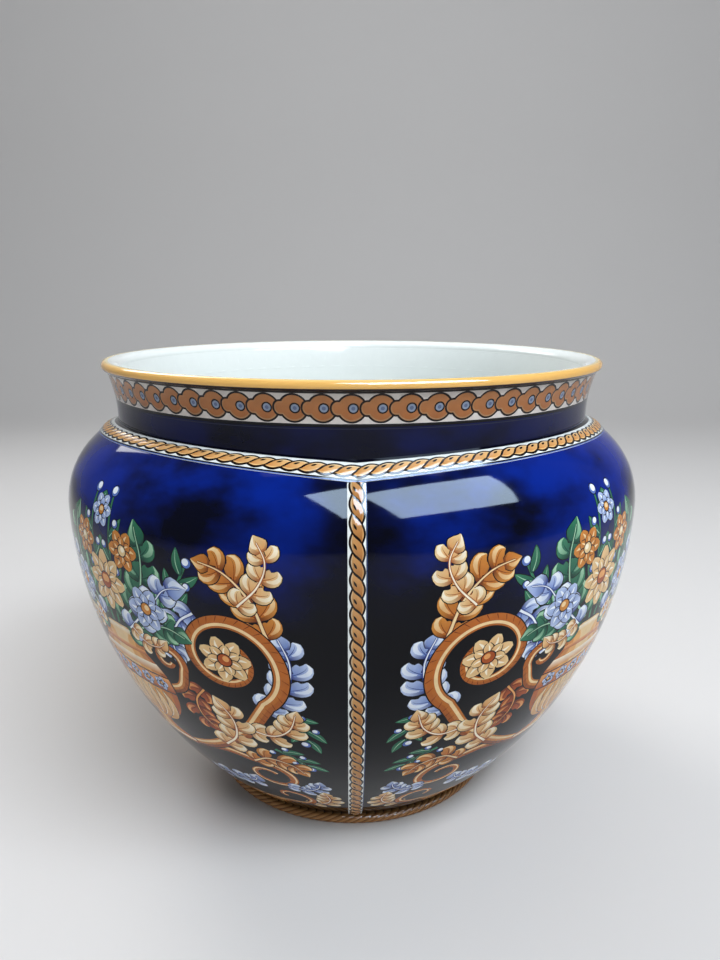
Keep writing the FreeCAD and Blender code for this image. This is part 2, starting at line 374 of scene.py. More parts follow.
def urn(art):
    """Two-handled vase on the middle line."""
    handle = curled([(19, 84), (29, 88), (34, 98)], (27, 101), (7.6, 2.6), (-20, 330))
    art.scroll(handle, [4.6, 4.2, 3.4, 2.4], OCHRE)
    stand = spline([(15.5, 49), (9, 53), (5.5, 57), (6.5, 60)])
    bowl = spline([(6.5, 60), (14, 64), (20.5, 72), (23, 82), (22, 91), (17.5, 97), (14.5, 100)])
    lip = spline([(14.5, 100), (15.5, 103), (20, 105.5), (20.5, 109)])
    body = np.vstack([[(0, 46), (15.5, 46)], stand[:-1], bowl[:-1], lip, [(0, 109)]])
    art.twin(grown(body, 0.7), INK)
    for share, tone, far in ((1.0, RUSSET["body"], OCHRE["far"]), (0.86, OCHRE["far"], OCHRE["body"]),
                             (0.62, OCHRE["body"], VASE_LIGHT), (0.3, VASE_MIDDLE, CREAM["body"])):
        art.twin(body * (share, 1.0), tone, far)
    art.twin([(0, 47), (14.6, 47), (14.6, 49), (0, 49)], CREAM["body"], CREAM["light"])
    for flute in (-3, 3, -2, 2, -1, 1, 0):
        lean = flute * 3.7
        art.blade([(flute * 1.9, 60), (lean * 1.1, 65), (lean * 1.4, 73), (lean * 1.3, 80)], 5.0, CREAM)
    art.twin([(0, 81), (22.9, 81), (22.4, 90), (0, 90)], RUSSET["shade"])
    art.twin([(0, 81.8), (22.8, 81.8), (22.5, 89.2), (0, 89.2)], RUSSET["body"], RUSSET["light"])
    for rosette in range(-2, 3):
        art.blossom((rosette * 8.4, 85.5), 3.5, 5, BLUE, OCHRE)
    art.twin([(0, 91.5), (21.4, 91.5), (18.8, 95.5), (0, 95.5)], CREAM["far"], CREAM["light"])
    art.twin([(0, 98.4), (15.2, 98.8), (14.6, 100.8), (0, 100.8)], RUSSET["body"], RUSSET["light"])
    art.twin([(0, 105.8), (20.0, 105.8), (20.2, 108.2), (0, 108.2)], CREAM["body"], CREAM["light"])


def bouquet(art):
    """Flowers and leaves that rise out of the vase."""
    art.sprig([(2, 110), (6, 140), (6, 164)], 3.2, GREEN)
    art.leaf([(8, 108), (22, 114), (32, 116), (42, 112)], 10, 4, GREEN)
    art.leaf([(6, 112), (20, 126), (24, 142), (20, 156)], 12, 5, GREEN)
    art.leaf([(10, 110), (26, 124), (34, 132), (44, 134)], 9, 4, BLUE)
    art.blossom((23, 122), 9.0, 6, BLUE, OCHRE)
    art.blossom((14, 143), 8.0, 6, OCHRE, CREAM)
    art.blossom((0, 128), 12.5, 8, CREAM, RUSSET)
    art.blossom((0, 156), 6.5, 6, BLUE, OCHRE)
    art.leaf([(12, 111), (18, 106), (25, 106), (30, 110)], 6, 3, CREAM)


def lobe_painting(shade_strip):
    """The whole ornament, and a strip of painted shade along the neck, above the rope."""
    art = Painting()
    side_scroll(art)
    urn(art)
    bouquet(art)
    art.lift(ornament_lift)
    foot_foliage(art)
    art.lift(foliage_lift)
    # Painted shade: a near-black strip next to the neck
    art.fill(shade_strip, NAVY_SHADE)
    return art


# Rope and chain, as cells that repeat along a band: x runs along the band, y across it

def strand_outline(pitch, half, slant, inset, ends, count=11):
    """One strand of a rope along x: an arch below, one above that lies further on, and S-shaped ends."""
    u = np.linspace(ends / pitch, 1.0 - ends / pitch, count)
    arch = half * (0.62 + 0.38 * np.sin(math.pi * u)) - inset
    ease = np.linspace(-1.0, 1.0, 7)[1:-1]
    rise = (1.5 * ease - 0.5 * ease ** 3) * arch[0]
    low = np.stack([u * pitch - slant / 2.0, -arch], axis=1)
    end = np.stack([u[-1] * pitch + ease * slant / 2.0, rise], axis=1)
    high = np.stack([u * pitch + slant / 2.0, arch], axis=1)
    start = np.stack([u[0] * pitch + ease * slant / 2.0, rise], axis=1)
    return np.vstack([low, end, high[::-1], start[::-1]])


def rope_painting(pitch, width, half, slant, tones, edge_line):
    """White band with a rope of outlined strands along its middle, and two lines at one edge."""
    art = Painting()
    edge = width / 2.0
    art.fill(box_outline(-pitch, -edge, 2 * pitch, edge), WHITE)
    art.fill(box_outline(-pitch, -edge, 2 * pitch, -edge + edge_line), INK)
    art.fill(box_outline(-pitch, -edge, 2 * pitch, -edge + edge_line / 3.0), BLUE["far"])
    for place in range(-2, 4):
        art.fill(strand_outline(pitch, half, slant, -0.4, -0.3) + (place * pitch, 0.0), BROWN_INK)
    for place in range(-2, 4):
        move = np.array([place * pitch, 0.0])
        tail = move + (0.2 * pitch - slant / 2.0, -half)
        head = move + (0.9 * pitch + slant / 2.0, half)
        strand = strand_outline(pitch, half, slant, 0.34, 0.56) + move
        art.fill(strand, tones["body"], tones["far"], tail, head)
        u = np.linspace(0.14, 0.84, 9)
        arch = half * (0.62 + 0.38 * np.sin(math.pi * u)) - 0.38
        rim = np.stack([u * pitch, arch], axis=1)
        thin = np.stack([u * pitch, arch - 0.36 * np.sin(math.pi * u)], axis=1)
        crescent = np.vstack([rim, thin[::-1]])
        art.fill(crescent + move + (slant / 2.0, 0.0), tones["light"])
        art.fill(crescent * (1.0, -1.0) + move - (slant / 2.0, 0.0), tones["far"])
        eye = move + np.linspace((0.4 * pitch, 0.08 * half), (0.62 * pitch + 0.2 * slant, 0.5 * half), 7)
        art.fill(stroke(eye, [0.1, 0.7, 0.8, 0.55, 0.1]), BROWN_INK)
    return art


def chain_painting(pitch, height):
    """Off-white band with a border of round links, each with a tab that laps over the link before."""
    art = Painting()
    # Off-white ground, greyed as painted shade under the lip
    art.fill(box_outline(-pitch, 0.0, 2 * pitch, height), CHAIN_GROUND_SHADED)
    art.fill(box_outline(-pitch, 0.0, 2 * pitch, 0.6), INK)
    # The dark line at the top, under the lip: partly the ink line, partly painted shade under the lip roll
    art.fill(box_outline(-pitch, height - 0.6, 2 * pitch, height), BROWN_INK)
    level = height * 0.51
    turn = np.radians(np.linspace(90.0, 270.0, 13))
    for place in range(-2, 4):
        x = (place + 0.35) * pitch
        for size, tone, far in ((0.72, BROWN_INK, BROWN_INK), (0.0, LINK["light"], LINK["far"]),
                                (-0.5, LINK["body"], LINK["far"])):
            tip_x = x - 4.9 + (1.9 + size) * np.cos(turn)
            tip_y = level + (2.3 + size) * np.sin(turn)
            tip = np.stack([tip_x, tip_y], axis=1)
            root = [(x - 2.0, tip[-1, 1]), (x - 2.0, tip[0, 1])]
            art.fill(circle((x, level), 4.6 + size, 36), tone, far, (x, level - 4.0), (x, level + 4.0))
            art.fill(np.vstack([tip, root]), tone, far, (x, level - 4.0), (x, level + 4.0))
        art.fill(circle((x + 0.5, level), 1.95, 24), BROWN_INK)
        art.fill(circle((x + 0.5, level), 1.4), DOT["body"])
        art.fill(circle((x + 0.5, level), 0.7, 14), DOT["far"])
    return art


# Surfaces of the pot

def bezier(points, count=200):
    a, b, c, d = [np.array(p, float) for p in points]
    t = np.linspace(0.0, 1.0, count)[:, None]
    return (1 - t) ** 3 * a + 3 * (1 - t) ** 2 * t * b + 3 * (1 - t) * t ** 2 * c + t ** 3 * d


def lobe_profile():
    """Radius and height along the curve of a lobe, from the foot to under the neck."""
    rise = math.radians(flank_foot_angle)
    fall = math.radians(shoulder_end_angle)
    foot = np.array([lobe_foot_radius, foot_height])
    side = np.array([widest_radius, widest_z])
    end = np.array([neck_radius - shoulder_lap, shoulder_z])
    flank = bezier([foot, foot + flank_foot_pull * np.array([math.cos(rise), math.sin(rise)]),
                    side - (0.0, flank_top_pull), side])
    shoulder = bezier([side, side + (0.0, shoulder_pull),
                       end + shoulder_end_pull * np.array([math.cos(fall), -math.sin(fall)]), end])
    return np.vstack([flank, shoulder[1:]])


profile_points = lobe_profile()
profile_lengths = lengths(profile_points)
profile_columns = [*profile_points.T, *directions(profile_points).T]
widest_length = float(np.interp(widest_z, profile_points[:, 1], profile_lengths))


def profile_at(length):
    """Radius, height and outward direction of a lobe's curve at a length from the foot."""
    radius, z, run_r, run_z = [np.interp(length, profile_lengths, column) for column in profile_columns]
    size = np.hypot(run_r, run_z)
    return radius, z, run_z / size, -run_r / size


def axis_offset(z):
    """How far the axis of a lobe lies from the pot's axis: less and less below its widest line."""
    below = np.clip((widest_z - z) / (widest_z - foot_height), 0.0, 1.0)
    return lobe_axis_offset - (lobe_axis_offset - lobe_foot_offset) * below ** 2


def seam_angle(turn_radius, offset, distance=0.0):
    """Angle about a lobe's own axis at which it comes within a distance of its seam plane."""
    return math.pi / 4 + np.arcsin((offset / math.sqrt(2.0) - distance) / turn_radius)


def turned(x, y, z, degrees):
    """Points turned about the pot's axis."""
    angle = math.radians(degrees)
    turned_x = x * math.cos(angle) - y * math.sin(angle)
    turned_y = x * math.sin(angle) + y * math.cos(angle)
    return np.stack([turned_x, turned_y, z], axis=-1)


def lobe_place(flat, out, step):
    """Point of a lobe's surface, from the distance across and the length up, moved outward."""
    radius, z, out_r, out_z = profile_at(flat[:, 1])
    offset = axis_offset(z)
    share = flat[:, 0] / half_width(flat[:, 1])
    turn_radius = radius + out * out_r - offset
    angle = share * seam_angle(turn_radius, offset)
    middle = offset + turn_radius * np.cos(angle)
    return turned(middle, turn_radius * np.sin(angle), z + out * out_z, lobe_angles[step])


def half_width(length):
    """Distance from the middle line of a lobe to its seam, round its surface."""
    radius, z, out_r, out_z = profile_at(length)
    offset = axis_offset(z)
    return (radius - offset) * seam_angle(radius - offset, offset)


def shoulder_length(radius, angle):
    """Length up a lobe's curve to a radius from the pot's axis, at an angle from the lobe's middle."""
    across = radius * np.sin(angle)
    middle = radius * np.cos(angle) - lobe_axis_offset
    curve_radius = np.hypot(middle, across) + lobe_axis_offset
    above = profile_lengths >= widest_length
    return np.interp(-curve_radius, -profile_points[above, 0], profile_lengths[above])


def shoulder_place(flat, out, step):
    """Point of the rope band on a shoulder, from the distance along it and the distance in across it."""
    angle = flat[:, 0] / shoulder_radius - math.pi / 4
    radius = shoulder_radius - flat[:, 1]
    curve_radius, z, out_r, out_z = profile_at(shoulder_length(radius, angle))
    turn = np.arctan2(radius * np.sin(angle), radius * np.cos(angle) - lobe_axis_offset)
    middle = radius * np.cos(angle) + out * out_r * np.cos(turn)
    across = radius * np.sin(angle) + out * out_r * np.sin(turn)
    return turned(middle, across, z + out * out_z, lobe_angles[step])


def seam_place(flat, out, step):
    """Point of the rope band in a seam, from the length up the curve and the distance to its left."""
    radius, z, out_r, out_z = profile_at(flat[:, 0])
    offset = axis_offset(z)
    turn_radius = radius - offset
    angle = seam_angle(turn_radius, offset, np.abs(flat[:, 1]))
    middle = offset + turn_radius * np.cos(angle)
    wall_points = turned(middle, -turn_radius * np.sin(angle), z, lobe_angles[0])
    return turned(-flat[:, 1], wall_points[:, 1] - out * out_r, z + out * out_z, seam_turns[step])


def flared(z, inset):
    """Radius of the neck and collar at a height, set in by a depth."""
    height = rim_z - waist_z
    bend = (height ** 2 + collar_flare ** 2) / (2.0 * collar_flare)
    return neck_radius + bend - np.sqrt((bend + inset) ** 2 - (z - waist_z) ** 2)


def collar_place(flat, out, step):
    """Point of the collar, from the distance round it and the height above its lower edge."""
    angle = flat[:, 0] / collar_radius
    z = collar_z + flat[:, 1]
    radius = flared(z, np.maximum(-out, 0.0)) + np.maximum(out, 0.0)
    return np.stack([radius * np.cos(angle), radius * np.sin(angle), z], axis=-1)


# Flat sheets cut along their painting, and meshes made from them

def linear(tone):
    """Scene colour of a paint that is given as seen."""
    seen = np.array(tone, float) / 255.0
    return np.where(seen <= 0.04045, seen / 12.92, ((seen + 0.055) / 1.055) ** 2.4)


def inside(points, outline):
    """Which points lie within an outline, by how often it winds round them."""
    found = np.zeros(len(points), bool)
    low, high = outline.min(axis=0), outline.max(axis=0)
    near = np.flatnonzero(np.all((points >= low) & (points <= high), axis=1))
    if len(near) == 0:
        return found
    px, py = points[near, 0][:, None], points[near, 1][:, None]
    ax, ay = outline[:, 0], outline[:, 1]
    bx, by = np.roll(ax, -1), np.roll(ay, -1)
    left = (bx - ax) * (py - ay) - (px - ax) * (by - ay)
    up = (ay <= py) & (by > py) & (left > 0)
    down = (ay > py) & (by <= py) & (left < 0)
    found[near] = (up.sum(axis=1) - down.sum(axis=1)) != 0
    return found


def cut_sheet(domain, painting, extra):
    """Triangles of a flat domain, cut along each painted outline, with the paint of each corner."""
    verts, edges = [], []
    for outline in [domain] + [shape[0] for shape in painting.shapes]:
        base = len(verts)
        count = len(outline)
        verts.extend(Vector(p) for p in outline)
        edges.extend((base + i, base + (i + 1) % count) for i in range(count))
    verts.extend(Vector(p) for p in extra)
    cut = geometry.delaunay_2d_cdt(verts, edges, [], 0, 1e-3, False)
    flat = np.array([tuple(v) for v in cut[0]])
    tris = np.array(cut[2])
    tris = tris[inside(flat[tris].mean(axis=1), domain)]
    corners = flat[tris]
    middles = corners.mean(axis=1)
    paint = np.zeros((len(tris), 3, 4))
    for outline, tone, far, start, end in painting.shapes:
        hit = inside(middles, outline)
        run = end - start
        share = np.clip((corners[hit] - start) @ run / (run @ run), 0.0, 1.0)[..., None]
        paint[hit, :, :3] = linear(tone) * (1 - share) + linear(far) * share
        paint[hit, :, 3] = 1.0
    used = np.unique(tris)
    renumber = np.zeros(len(flat), int)
    renumber[used] = np.arange(len(used))
    return flat[used], renumber[tris], paint


def border(tris):
    """Directed edges that only one triangle has."""
    edges = np.vstack([tris[:, [0, 1]], tris[:, [1, 2]], tris[:, [2, 0]]])
    seen = dict.fromkeys(map(tuple, edges.tolist()))
    return [(a, b) for a, b in seen if (b, a) not in seen]


def welded(points, faces):
    """Points without doubles, and faces renumbered to suit."""
    first, back = np.unique(np.round(points, 5), axis=0, return_index=True, return_inverse=True)[1:]
    return points[first], back.reshape(-1)[faces]


def new_piece(name, verts, faces, materials, face_materials, paint, uvs, normals=None):
    """Mesh object in metres with paint, bake coordinates and, where given, corner normals."""
    mesh = bpy.data.meshes.new(name)
    mesh.from_pydata((np.array(verts) * MM).tolist(), [], faces)
    for material in materials:
        mesh.materials.append(material)
    mesh.polygons.foreach_set("material_index", face_materials)
    mesh.polygons.foreach_set("use_smooth", [True] * len(faces))
    colours = mesh.color_attributes.new("paint", "FLOAT_COLOR", "CORNER")
    colours.data.foreach_set("color", np.asarray(paint, np.float32).ravel())
    layer = mesh.uv_layers.new(name="OFBake")
    layer.data.foreach_set("uv", np.asarray(uvs, np.float32).ravel())
    mesh.update()
    if normals is not None:
        mesh.normals_split_custom_set(np.asarray(normals).tolist())
    obj = bpy.data.objects.new(name, mesh)
    bpy.context.scene.collection.objects.link(obj)
    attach(obj, "root")
    return obj


def surface_normals(place, flat, out, step):
    """Outward unit normals of a surface, from small moves across and along it."""
    size = np.ptp(flat, axis=0) * 1e-4
    runs = []
    for move in ((size[0], 0.0), (0.0, size[1])):
        ahead = flat + move
        behind = flat - move
        runs.append(place(ahead, out(ahead), step) - place(behind, out(behind), step))
    normal = np.cross(*runs)
    return normal / np.linalg.norm(normal, axis=1)[:, None]


def sheet_piece(name, sheet, place, out, depth, materials, step=0, back=None, rows=1):
    """Closed piece: a painted sheet laid on a surface, a plain back at a depth under it, and its edges."""
    flat, tris, paint = sheet
    back_flat, back_tris = back if back is not None else (flat, tris)
    front = place(flat, out(flat), step)
    rear = place(back_flat, np.full(len(back_flat), -depth), step)
    find = {tuple(p): i for i, p in enumerate(np.round(back_flat, 6))}
    match = {}
    edges = border(tris)
    for a, b in edges:
        match[a] = find[tuple(np.round(flat[a], 6))]
        match[b] = find[tuple(np.round(flat[b], 6))]
    base = len(flat)
    faces = tris.tolist() + (back_tris[:, ::-1] + base).tolist()
    faces += [[b, a, match[a] + base, match[b] + base] for a, b in edges]
    verts = np.vstack([front, rear])
    kinds = [0] * len(tris) + [1] * (len(back_tris) + len(edges))
    plain = np.array([*linear(WHITE), 1.0])
    colours = np.vstack([paint.reshape(-1, 4), np.tile(plain, (3 * len(back_tris) + 4 * len(edges), 1))])
    low, span = flat.min(axis=0), np.ptp(flat, axis=0)
    unit = (flat - low) / span
    front_uv = folded(unit[tris], rows) * (1.0, 0.84)
    rear_uv = ((back_flat - low) / span)[back_tris[:, ::-1]] * (1.0, 0.1) + (0.0, 0.86)
    edge_u = (np.arange(len(edges))[:, None] + [0.1, 0.9, 0.9, 0.1]) / len(edges)
    edge_v = np.broadcast_to([0.975, 0.975, 0.995, 0.995], edge_u.shape)
    edge_uv = np.stack([edge_u, edge_v], axis=-1)
    uvs = np.vstack([front_uv.reshape(-1, 2), rear_uv.reshape(-1, 2), edge_uv.reshape(-1, 2)])
    facing = surface_normals(place, flat, out, step)
    normals = np.zeros((len(uvs), 3))
    normals[:3 * len(tris)] = facing[tris].reshape(-1, 3)
    obj = new_piece(name, verts, faces, materials, kinds, colours, uvs, normals)
    smooth = np.arange(len(faces)) < len(tris) + len(back_tris)
    obj.data.polygons.foreach_set("use_smooth", smooth)
    return obj


def folded(corner_uv, rows):
    """Bake coordinates of a long band, cut into rows that lie one above the other."""
    if rows == 1:
        return corner_uv
    row = np.clip(np.floor(corner_uv[:, :, 0].mean(axis=1) * rows), 0, rows - 1)[:, None]
    u = corner_uv[:, :, 0] * rows - row
    v = (corner_uv[:, :, 1] * 0.94 + 0.03 + row) / rows
    return np.stack([np.clip(u, 0.0, 1.0), v], axis=-1)


def tiled(cell, count, pitch):
    """Sheet of a number of equal cells, side by side."""
    flat, tris, paint = cell
    points = np.vstack([flat + (i * pitch, 0.0) for i in range(count)])
    faces = np.vstack([tris + i * len(flat) for i in range(count)])
    points, faces = welded(points, faces)
    return points, faces, np.tile(paint, (count, 1, 1))


def cell_points(pitch, low, high, step):
    """Points that carry the relief within one cell."""
    across = int(pitch / step) + 1
    up = int((high - low) / step) + 1
    x, y = np.meshgrid(np.linspace(0.0, pitch, across + 1), np.linspace(low, high, up + 1))
    return np.stack([x.ravel(), y.ravel()], axis=1)


# Materials

def node(tree, kind, inputs, **settings):
    """Shader node with its settings made and its inputs set, or linked where an output is given."""
    made = tree.nodes.new("ShaderNode" + kind)
    for key, value in settings.items():
        setattr(made, key, value)
    for key, value in inputs.items():
        if isinstance(value, bpy.types.NodeSocket):
            tree.links.new(value, made.inputs[key])
        else:
            made.inputs[key].default_value = value
    return made


def ranged(tree, value, low, high, to_low=0.0, to_high=1.0):
    """Value stretched from one range to another, and held at its ends."""
    limits = {"Value": value, "From Min": low, "From Max": high, "To Min": to_low, "To Max": to_high}
    return node(tree, "MapRange", limits).outputs["Result"]


def maths(tree, operation, first, second):
    return node(tree, "Math", {0: first, 1: second}, operation=operation).outputs[0]


def noise(tree, vector, scale, detail):
    return node(tree, "TexNoise", {"Vector": vector, "Scale": scale, "Detail": detail}).outputs["Fac"]


def new_material(name, shine):
    """Material with its node tree and its shader, whose specular level is set."""
    material = bpy.data.materials.new(name)
    material.use_nodes = True
    shader = material.node_tree.nodes["Principled BSDF"]
    shader.inputs["Specular IOR Level"].default_value = shine
    return material, material.node_tree, shader


def two_tones(tree, share, paints):
    """Colour ramp from one paint to another."""
    tones = node(tree, "ValToRGB", {"Fac": share})
    for element, tone in zip(tones.color_ramp.elements, paints):
        element.color = (*linear(tone), 1.0)
    return tones


def glaze(name, ground, roughness, wash, shine):
    """Glossy glaze: painted colours, thinner and thicker in places, over a ground made by a function."""
    material, tree, shader = new_material(name, shine)
    shader.inputs["IOR"].default_value = 1.5
    place = node(tree, "TexCoord", {}).outputs["Object"]
    brush = noise(tree, place, 260.0, 5.0)
    paint = node(tree, "VertexColor", {}, layer_name="paint")
    strength = ranged(tree, brush, 0.3, 0.7, 1.0 - wash, 1.0)
    brushed = node(tree, "VectorMath", {0: paint.outputs["Color"], "Scale": strength}, operation="SCALE")
    cover = {"Factor": paint.outputs["Alpha"], "A": ground(tree, place), "B": brushed.outputs["Vector"]}
    colour = node(tree, "Mix", cover, data_type="RGBA")
    tree.links.new(colour.outputs["Result"], shader.inputs["Base Color"])
    gloss = ranged(tree, brush, 0.0, 1.0, roughness * 0.7, roughness * 1.4)
    tree.links.new(gloss, shader.inputs["Roughness"])
    ripple = {"Height": noise(tree, place, 70.0, 1.0), "Strength": 0.1, "Distance": 0.0005}
    tree.links.new(node(tree, "Bump", ripple).outputs["Normal"], shader.inputs["Normal"])
    return material


def clouds_and_shade(tree, place):
    """Cobalt in soft clouds at the top of a lobe, and painted shade: near black below and beside the seams.
    """
    parts = node(tree, "SeparateXYZ", {0: place})
    from_front = maths(tree, "ABSOLUTE", parts.outputs["X"], 0.0)
    from_side = maths(tree, "ABSOLUTE", parts.outputs["Y"], 0.0)
    # Painted shade: darker beside the seam valleys
    seam = ranged(tree, maths(tree, "MINIMUM", from_front, from_side), 0.003, 0.02, 0.35, 1.0)
    # Painted shade: darker lower down the body, bright only near the top
    height = ranged(tree, parts.outputs["Z"], 0.12, 0.174)
    stretched = node(tree, "Mapping", {"Vector": place, "Scale": (1.0, 1.0, 1.7)}).outputs["Vector"]
    clouds = ranged(tree, noise(tree, stretched, 26.0, 4.0), 0.36, 0.62, 0.12, 1.0)
    share = maths(tree, "MULTIPLY", maths(tree, "MULTIPLY", height, clouds), seam)
    tones = two_tones(tree, share, COBALT_AND_SHADE)
    tones.color_ramp.interpolation = "EASE"
    return tones.outputs["Color"]


def even(paints):
    """Ground of nearly one tone."""
    def ground(tree, place):
        return two_tones(tree, noise(tree, place, 14.0, 3.0), paints).outputs["Color"]
    return ground


cobalt = glaze("cobalt_glaze", clouds_and_shade, roughness=0.06, wash=0.16, shine=0.17)
rope_glaze = glaze("rope_glaze", even(ROPE_GROUND), roughness=0.1, wash=0.1, shine=0.3)
chain_glaze = glaze("chain_glaze", even(COLLAR_GROUND_SHADED), roughness=0.1, wash=0.12, shine=0.25)
lip_glaze = glaze("lip_glaze", even(LIP_GROUND), roughness=0.08, wash=0.05, shine=0.5)
white_glaze = glaze("white_glaze", even(INNER_GROUND), roughness=0.1, wash=0.02, shine=0.4)


# Lobes

def round_edge(radius):
    """Right half of a line on a flat lobe, at one radius from the pot's axis, from seam to middle."""
    angle = np.linspace(math.pi / 4, 0.0, 32)
    length = shoulder_length(radius, angle)
    turn_radius = profile_at(length)[0] - lobe_axis_offset
    turn = np.arctan2(radius * np.sin(angle), radius * np.cos(angle) - lobe_axis_offset)
    return np.stack([turn * turn_radius, length], axis=1)


def lobe_half_outline():
    """Right half of a lobe, laid flat: up its seam, in along the neck and down its middle line."""
    neck = round_edge(neck_radius)
    rise = np.linspace(0.0, neck[0, 1], 60)
    seam = np.stack([half_width(rise), rise], axis=1)
    foot = np.stack([np.linspace(0.0, half_width(0.0), 24), np.zeros(24)], axis=1)
    return np.vstack([foot[:-1], seam[:-1], neck])


def grid_inside(outline, step):
    """Evenly spaced points well inside an outline."""
    low, high = outline.min(axis=0), outline.max(axis=0)
    x, y = np.meshgrid(np.arange(low[0], high[0], step), np.arange(low[1] + step, high[1], step))
    points = np.stack([x.ravel(), y.ravel()], axis=1)
    probes = [inside(points + move, outline) for move in ((step / 3, 0), (0, step / 3), (0, -step / 3))]
    return points[np.all(probes, axis=0)]


def mirrored(sheet):
    """Both halves of a sheet, from the right one."""
    flat, tris, paint = sheet
    flat = flat.copy()
    flat[np.abs(flat[:, 0]) < 1e-4, 0] = 0.0
    points = np.vstack([flat, flat * (-1.0, 1.0)])
    faces = np.vstack([tris, tris[:, ::-1] + len(flat)])
    points, faces = welded(points, faces)
    return points, faces, np.vstack([paint, paint[:, ::-1]])


def level_out(flat):
    return np.zeros(len(flat))


half_outline = lobe_half_outline()
# Outline of the strip of painted shade next to the neck
shade_strip = np.vstack([round_edge(neck_radius), round_edge(rope_inner_radius + 1.0)[::-1]])
lobe_art = lobe_painting(shade_strip)
lobe_sheet = mirrored(cut_sheet(half_outline, lobe_art, grid_inside(half_outline, grid_step)))
back_painting = Painting()
back_painting.fill(shade_strip, NAVY_SHADE)
back_sheet = mirrored(cut_sheet(half_outline, back_painting, grid_inside(half_outline, 2.0 * grid_step)))

for step, name in enumerate(lobe_names):
    lobe = sheet_piece("lobe_" + name, lobe_sheet, lobe_place, level_out, wall, [cobalt, white_glaze], step,
                       back=back_sheet[:2])
    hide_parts("lobe_wall_" + name)


# Rope bands on the shoulders and in the seams

def rope_bands(kind, replaced, names, place, length, strands, width, half, slant, tones, edge_line):
    """Rope bands of one kind: a sheet of equal strands in relief, laid on the pot once for each name."""
    pitch = length / strands
    edge = width / 2.0
    art = rope_painting(pitch, width, half, slant, tones, edge_line)
    domain = box_outline(0.0, -edge, pitch, edge)
    cell = cut_sheet(domain, art, cell_points(pitch, -edge, edge, rope_grid_step))
    sheet = tiled(cell, strands, pitch)

    def relief(flat):
        """A swelling band, with a rise on each strand."""
        run, across = flat[:, 0], flat[:, 1]
        swell = band_proud + band_swell * np.clip(1.0 - (across / edge) ** 2, 0.0, 1.0)
        phase = (run - slant / 2.0 * np.clip(across / (0.62 * half), -1.0, 1.0)) / pitch % 1.0
        strand = np.sin(math.pi * phase) * np.clip(1.0 - (across / half) ** 2, 0.0, 1.0)
        return swell + strand_swell * strand

    glazes = [rope_glaze, white_glaze]
    for step, name in enumerate(names):
        band = sheet_piece(kind + name, sheet, place, relief, rope_depth, glazes, step, rows=6)
        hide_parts(replaced + name)


shoulder_width = rope_outer_radius - rope_inner_radius
shoulder_radius = (rope_outer_radius + rope_inner_radius) / 2.0
shoulder_run = shoulder_radius * math.pi / 2.0
seam_run = float(shoulder_length(rope_outer_radius, math.pi / 4))
rope_bands("shoulder_band_", "shoulder_rope_", lobe_names, shoulder_place, shoulder_run, shoulder_strands,
           shoulder_width, half=2.1, slant=3.8, tones=ROPE, edge_line=0.75)
# The seam ropes take the darker rope paint, as painted shade
rope_bands("seam_band_", "seam_strip_", seam_names, seam_place, seam_run, seam_strands,
           seam_strip_width, half=2.5, slant=3.6, tones=SEAM_ROPE_SHADED, edge_line=0.3)


# Collar with the chain border

collar_height = rim_z - collar_z
collar_radius = float(flared((collar_z + rim_z) / 2.0, 0.0))
chain_pitch = 2.0 * math.pi * collar_radius / chain_links
chain_domain = box_outline(0.0, 0.0, chain_pitch, collar_height)
chain_cell = cut_sheet(chain_domain, chain_painting(chain_pitch, collar_height),
                       cell_points(chain_pitch, 0.0, collar_height, chain_grid_step))
chain_sheet = tiled(chain_cell, chain_links, chain_pitch)
collar_glazes = [chain_glaze, white_glaze]
collar = sheet_piece("collar", chain_sheet, collar_place, level_out, wall, collar_glazes, rows=10)
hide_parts("collar_band")


# Neck, lip and foot ring, turned about the pot's axis

def ring_piece(name, radius, z, paint, materials, kinds, sharp, rows=1, blended=False):
    """Closed ring from a section at each of many angles, painted by its runs, or blended between points."""
    segments, count = radius.shape
    angle = np.linspace(0.0, 2.0 * math.pi, segments, endpoint=False)[:, None]
    verts = np.stack([radius * np.cos(angle), radius * np.sin(angle), z], axis=-1).reshape(-1, 3)
    here = np.arange(segments * count).reshape(segments, count)
    up = np.roll(here, -1, axis=1)
    faces = np.stack([here, np.roll(here, -1, axis=0), np.roll(up, -1, axis=0), up], axis=-1).reshape(-1, 4)
    corners = faces.ravel() if blended else np.repeat(here.ravel(), 4)
    row, left = np.divmod(np.arange(segments) * rows / segments, 1.0)
    right = left + rows / segments
    low = 0.03 + 0.94 * np.arange(count) / count
    high = low + 0.92 / count
    v = (np.stack([low, low, high, high], axis=-1) + row[:, None, None]) / rows
    u = np.broadcast_to(np.stack([left, right, right, left], axis=-1)[:, None], v.shape)
    uvs = np.stack([u, v], axis=-1)
    corner_paint = paint.reshape(-1, 4)[corners]
    obj = new_piece(name, verts, faces.tolist(), materials, kinds * segments, corner_paint, uvs)
    obj.data.set_sharp_from_angle(angle=math.radians(sharp))
    return obj


def lathe(name, section, tones, outer_glaze, segments=360):
    """Ring of the same section all round: a paint for each of its outer runs, and white glaze on the rest."""
    inner_runs = len(section) - len(tones)
    around = np.ones((segments, 1))
    radius, z = np.array(section, float).T
    paint = np.tile(np.array(tones + [painted(WHITE)] * inner_runs), (segments, 1, 1))
    kinds = [0] * len(tones) + [1] * inner_runs
    return ring_piece(name, around * radius, around * z, paint, [outer_glaze, white_glaze], kinds, 40.0)


def painted(tone):
    return (*linear(tone), 1.0)


BARE = (0.0, 0.0, 0.0, 0.0)

neck_low_z = waist_z - 7.0
line_z = collar_z - 0.5
